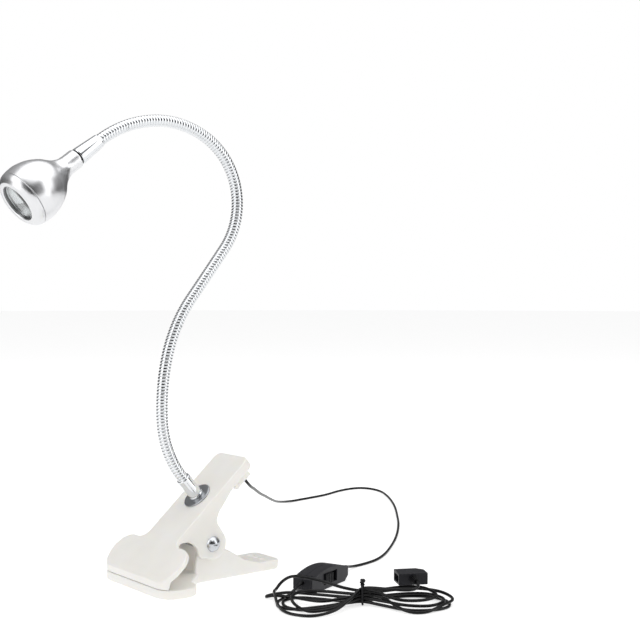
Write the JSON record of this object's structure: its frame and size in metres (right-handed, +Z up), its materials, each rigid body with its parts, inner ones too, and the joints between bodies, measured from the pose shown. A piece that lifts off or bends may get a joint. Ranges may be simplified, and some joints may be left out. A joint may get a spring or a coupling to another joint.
{
  "type": "clip-on reading lamp",
  "caption": "Spring clip with a wound gooseneck, a small spun metal LED head, and a thin lead with an in-line switch, a tied hank and a right-angle connector.",
  "frame": {"origin": "on the lower lever's sole, straight below the clip's pin", "axes": "+X from the jaws to the tail, +Y along the pin, +Z up"},
  "size_m": [0.4145, 0.3286, 0.2799],
  "materials": {
    "clip_plastic": "moulded satin",
    "chrome_plate": "bright plated",
    "steel": "bright zinc",
    "washer_zinc": "dull zinc",
    "spun_aluminium": "spun satin",
    "heat_aluminium": "plain",
    "reflector_metal": "metallised",
    "lens_clear": "clear",
    "led_yellow": "phosphor under clear dome",
    "board_white": "white solder mask",
    "wire_cover": "plain",
    "neck_dark": "plain",
    "cord_black": "satin",
    "switch_plastic": "fine texture",
    "contact_brass": "plain"
  },
  "bodies": {
    "lower_clip": {"lower_lever": "clip_plastic", "pivot_pin": "steel", "pin_collar": "steel", "torsion_spring": "steel", "lead_cord": "cord_black", "switch_base": "switch_plastic", "switch_cover": "switch_plastic", "switch_contacts": "contact_brass", "switch_tail_cord": "cord_black", "cord_hank": "cord_black", "cord_tie": "cord_black", "plug_cord": "cord_black", "plug_relief": "cord_black", "plug_housing": "switch_plastic", "plug_contacts": "contact_brass"},
    "upper_clip": {"upper_lever": "clip_plastic", "base_washer": "washer_zinc", "base_ferrule": "chrome_plate", "lock_washer": "steel", "base_nut": "steel", "cord_gland": "clip_plastic", "gland_screws": "steel", "hose_1": "chrome_plate", "wires_1": "wire_cover"},
    "neck_2": {"hose_2": "chrome_plate", "wires_2": "wire_cover"},
    "neck_3": {"hose_3": "chrome_plate", "wires_3": "wire_cover"},
    "neck_4": {"hose_4": "chrome_plate", "wires_4": "wire_cover"},
    "neck_5": {"hose_5": "chrome_plate", "wires_5": "wire_cover"},
    "neck_6": {"hose_6": "chrome_plate", "wires_6": "wire_cover"},
    "neck_7": {"hose_7": "chrome_plate", "wires_7": "wire_cover"},
    "head": {"hose_8": "chrome_plate", "wires_8": "wire_cover", "head_collar": "chrome_plate", "neck_ring": "neck_dark", "head_shell": "spun_aluminium", "bezel_ring": "spun_aluminium", "lens": "lens_clear", "reflector": "reflector_metal", "led_emitter": "led_yellow", "led_board": "board_white", "heat_spreader": "heat_aluminium"},
    "slider": {"switch_slider": "switch_plastic"}
  },
  "joints": [
    {"name": "clip_hinge", "type": "hinge", "parent": "lower_clip", "child": "upper_clip", "pos_m": [0, 0, 0.023], "axis": [0, 1, 0], "range_deg": [0, 36], "stiffness_Nm_per_rad": 0.6, "springref_deg": -45.84, "deforming": ["torsion_spring", "lead_cord"]},
    {"name": "neck_bend_1", "type": "hinge", "parent": "upper_clip", "child": "neck_2", "pos_m": [-0.02544, 0, 0.09747], "axis": [0, 1, 0], "range_deg": [-25, 25]},
    {"name": "neck_sway_2", "type": "hinge", "parent": "neck_2", "child": "neck_3", "pos_m": [-0.02172, 0, 0.13615], "axis": [0.9703, 0, -0.2419], "range_deg": [-25, 25]},
    {"name": "neck_bend_3", "type": "hinge", "parent": "neck_3", "child": "neck_4", "pos_m": [-0.00446, 0, 0.17078], "axis": [0, 1, 0], "range_deg": [-25, 25]},
    {"name": "neck_sway_4", "type": "hinge", "parent": "neck_4", "child": "neck_5", "pos_m": [0.01982, 0, 0.2013], "axis": [0.788, 0, -0.6157], "range_deg": [-25, 25]},
    {"name": "neck_bend_5", "type": "hinge", "parent": "neck_5", "child": "neck_6", "pos_m": [0.02865, 0, 0.23808], "axis": [0, 1, 0], "range_deg": [-25, 25]},
    {"name": "neck_sway_6", "type": "hinge", "parent": "neck_6", "child": "neck_7", "pos_m": [0.00645, 0, 0.26864], "axis": [0.4848, 0, 0.8746], "range_deg": [-25, 25]},
    {"name": "neck_bend_7", "type": "hinge", "parent": "neck_7", "child": "head", "pos_m": [-0.03121, 0, 0.27596], "axis": [0, 1, 0], "range_deg": [-25, 25]},
    {"name": "switch_slide", "type": "slide", "parent": "lower_clip", "child": "slider", "axis": [0.9397, 0.342, 0], "range_m": [0, 0.004]}
  ]
}
